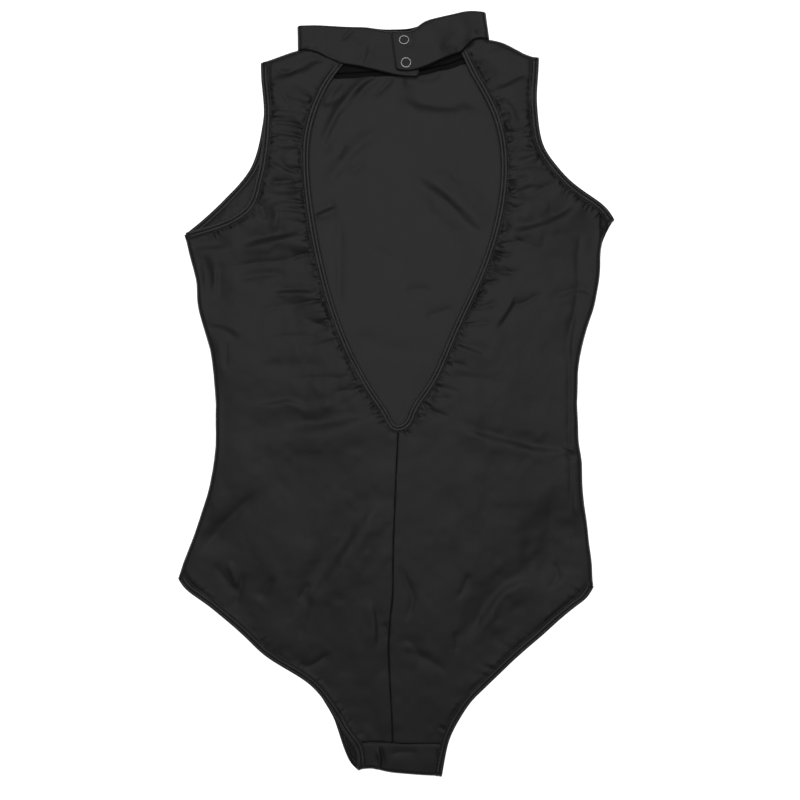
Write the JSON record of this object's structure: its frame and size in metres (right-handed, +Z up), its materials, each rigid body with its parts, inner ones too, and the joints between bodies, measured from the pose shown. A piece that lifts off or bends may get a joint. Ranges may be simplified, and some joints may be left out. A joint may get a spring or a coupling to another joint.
{
  "type": "gymnastics leotard",
  "caption": "Sleeveless black gymnastics leotard with a snap-closed stand collar and an open teardrop back, lying flat with its back side up.",
  "frame": {"origin": "middle of the garment's footprint, on the surface it lies on", "axes": "+Y from crotch to collar, +X towards the wearer's right side, +Z up through the front and then the back"},
  "size_m": [0.3906, 0.6874, 0.0141],
  "materials": {
    "body_knit": "matte stretch knit, black",
    "binding_knit": "folded stretch knit, black",
    "collar_knit": "doubled stretch knit, black",
    "lining": "soft brushed lining, black",
    "interfacing": "fusible woven stiffening",
    "overlock_thread": "black overlock thread",
    "elastic": "flat cotton-covered elastic",
    "snap_metal": "satin nickel plate"
  },
  "bodies": {
    "leotard": {"front_panel": "body_knit", "left_back_panel": "body_knit", "right_back_panel": "body_knit", "crotch_gusset": "body_knit", "gusset_lining": "lining", "collar_band": "collar_knit", "collar_interfacing": "interfacing", "left_armhole_binding": "binding_knit", "right_armhole_binding": "binding_knit", "left_armhole_elastic": "elastic", "right_armhole_elastic": "elastic", "left_leg_binding": "binding_knit", "right_leg_binding": "binding_knit", "left_leg_elastic": "elastic", "right_leg_elastic": "elastic", "back_opening_binding": "binding_knit", "back_opening_elastic": "elastic", "left_side_seam": "overlock_thread", "right_side_seam": "overlock_thread", "left_shoulder_seam": "overlock_thread", "right_shoulder_seam": "overlock_thread", "centre_back_seam": "overlock_thread", "back_crotch_seam": "overlock_thread", "front_crotch_seam": "overlock_thread", "front_neck_seam": "overlock_thread", "left_back_neck_seam": "overlock_thread", "right_back_neck_seam": "overlock_thread"},
    "collar_overlap": {"collar_overlap_end": "collar_knit", "overlap_interfacing": "interfacing", "snap_ring_caps": "snap_metal", "snap_sockets": "snap_metal"},
    "collar_underlap": {"collar_underlap_end": "collar_knit", "underlap_interfacing": "interfacing", "snap_studs": "snap_metal", "snap_stud_rings": "snap_metal"}
  },
  "joints": [
    {"name": "collar_overlap_fold", "type": "hinge", "parent": "leotard", "child": "collar_overlap", "pos_m": [0.058, 0.323, 0.01345], "axis": [0, 1, 0], "range_deg": [0, 150]},
    {"name": "collar_underlap_fold", "type": "hinge", "parent": "leotard", "child": "collar_underlap", "pos_m": [-0.0459, 0.311, 0.00965], "axis": [0, -1, 0], "range_deg": [0, 67.5]}
  ],
  "couplings": [
    {"joint": "collar_underlap_fold", "follows": "collar_overlap_fold", "ratio": 0.45}
  ]
}
